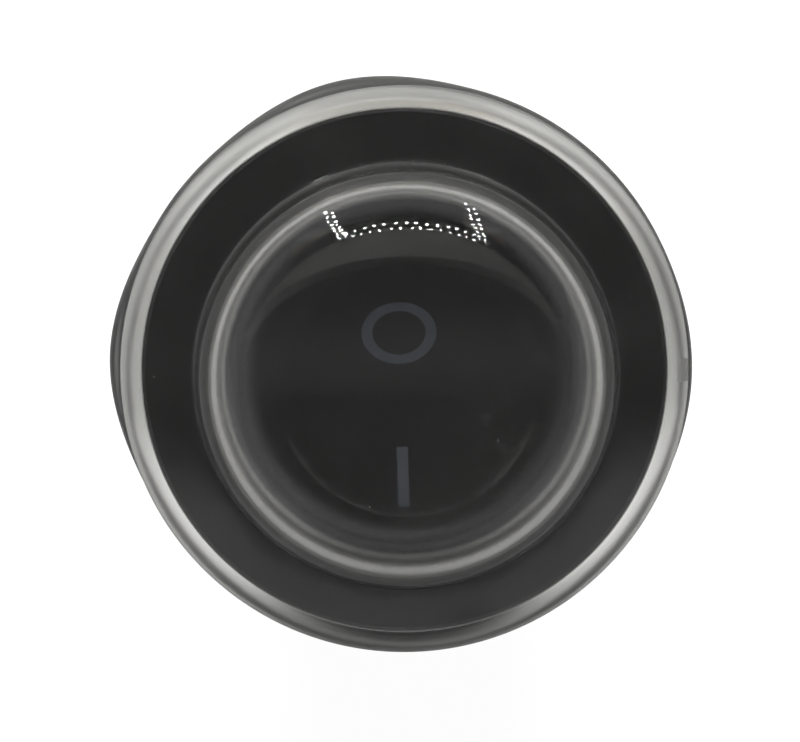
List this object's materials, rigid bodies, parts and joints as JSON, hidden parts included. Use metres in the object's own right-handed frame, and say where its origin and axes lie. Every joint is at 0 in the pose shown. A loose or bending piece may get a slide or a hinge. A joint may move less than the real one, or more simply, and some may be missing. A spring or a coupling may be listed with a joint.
{
  "type": "panel rocker switch",
  "caption": "Round snap-in rocker switch with a black bezel and rocker under a clear soft waterproof boot, for switching a mains supply from a panel.",
  "frame": {"origin": "centre of the panel cut-out, on the front face of the panel, which is the underside of the boot's lip", "axes": "+Z points out of the panel to the user, +Y to the O end of the rocker (up in the picture), +X to the right in the picture; the tabs point to -Z"},
  "size_m": [0.0258, 0.0256, 0.0293],
  "materials": {
    "clear_boot": "clear soft moulding, smooth, slightly hazy",
    "black_moulding": "black moulded plastic, fine satin",
    "black_rocker": "black moulded plastic, smooth, with grey printed marks",
    "natural_nylon": "uncoloured moulded plastic",
    "spring_steel": "drawn spring wire",
    "blade_brass": "rolled strip, bright",
    "terminal_brass": "stamped strip, dull bright",
    "contact_silver": "silver alloy, satin"
  },
  "bodies": {
    "switch_body": {"housing": "black_moulding", "waterproof_boot": "clear_boot", "common_terminal_left": "terminal_brass", "load_terminal_left": "terminal_brass", "load_contact_left": "contact_silver", "common_terminal_right": "terminal_brass", "load_terminal_right": "terminal_brass", "load_contact_right": "contact_silver"},
    "rocker": {"rocker": "black_rocker", "plunger_spring_left": "spring_steel", "plunger_spring_right": "spring_steel"},
    "plunger_left": {"plunger_left": "natural_nylon"},
    "contact_blade_left": {"contact_blade_left": "blade_brass", "blade_contact_left": "contact_silver"},
    "plunger_right": {"plunger_right": "natural_nylon"},
    "contact_blade_right": {"contact_blade_right": "blade_brass", "blade_contact_right": "contact_silver"}
  },
  "joints": [
    {"name": "rocker_tilt", "type": "hinge", "parent": "switch_body", "child": "rocker", "pos_m": [0, 0, -0.00145], "axis": [-1, 0, 0], "range_deg": [0, 26]},
    {"name": "plunger_slide_left", "type": "slide", "parent": "rocker", "child": "plunger_left", "axis": [0, -0.225, 0.9744], "range_m": [0, 0.0006], "stiffness_N_per_m": 700, "springref_m": -0.003, "deforming": ["plunger_spring_left"]},
    {"name": "blade_tilt_left", "type": "hinge", "parent": "switch_body", "child": "contact_blade_left", "pos_m": [-0.00343, 0, -0.00793], "axis": [1, 0, 0], "range_deg": [0, 16]},
    {"name": "plunger_slide_right", "type": "slide", "parent": "rocker", "child": "plunger_right", "axis": [0, -0.225, 0.9744], "range_m": [0, 0.0006], "stiffness_N_per_m": 700, "springref_m": -0.003, "deforming": ["plunger_spring_right"]},
    {"name": "blade_tilt_right", "type": "hinge", "parent": "switch_body", "child": "contact_blade_right", "pos_m": [0.00343, 0, -0.00793], "axis": [1, 0, 0], "range_deg": [0, 16]}
  ],
  "couplings": [
    {"joint": "blade_tilt_left", "follows": "rocker_tilt", "ratio": 0.61538},
    {"joint": "blade_tilt_right", "follows": "rocker_tilt", "ratio": 0.61538}
  ]
}
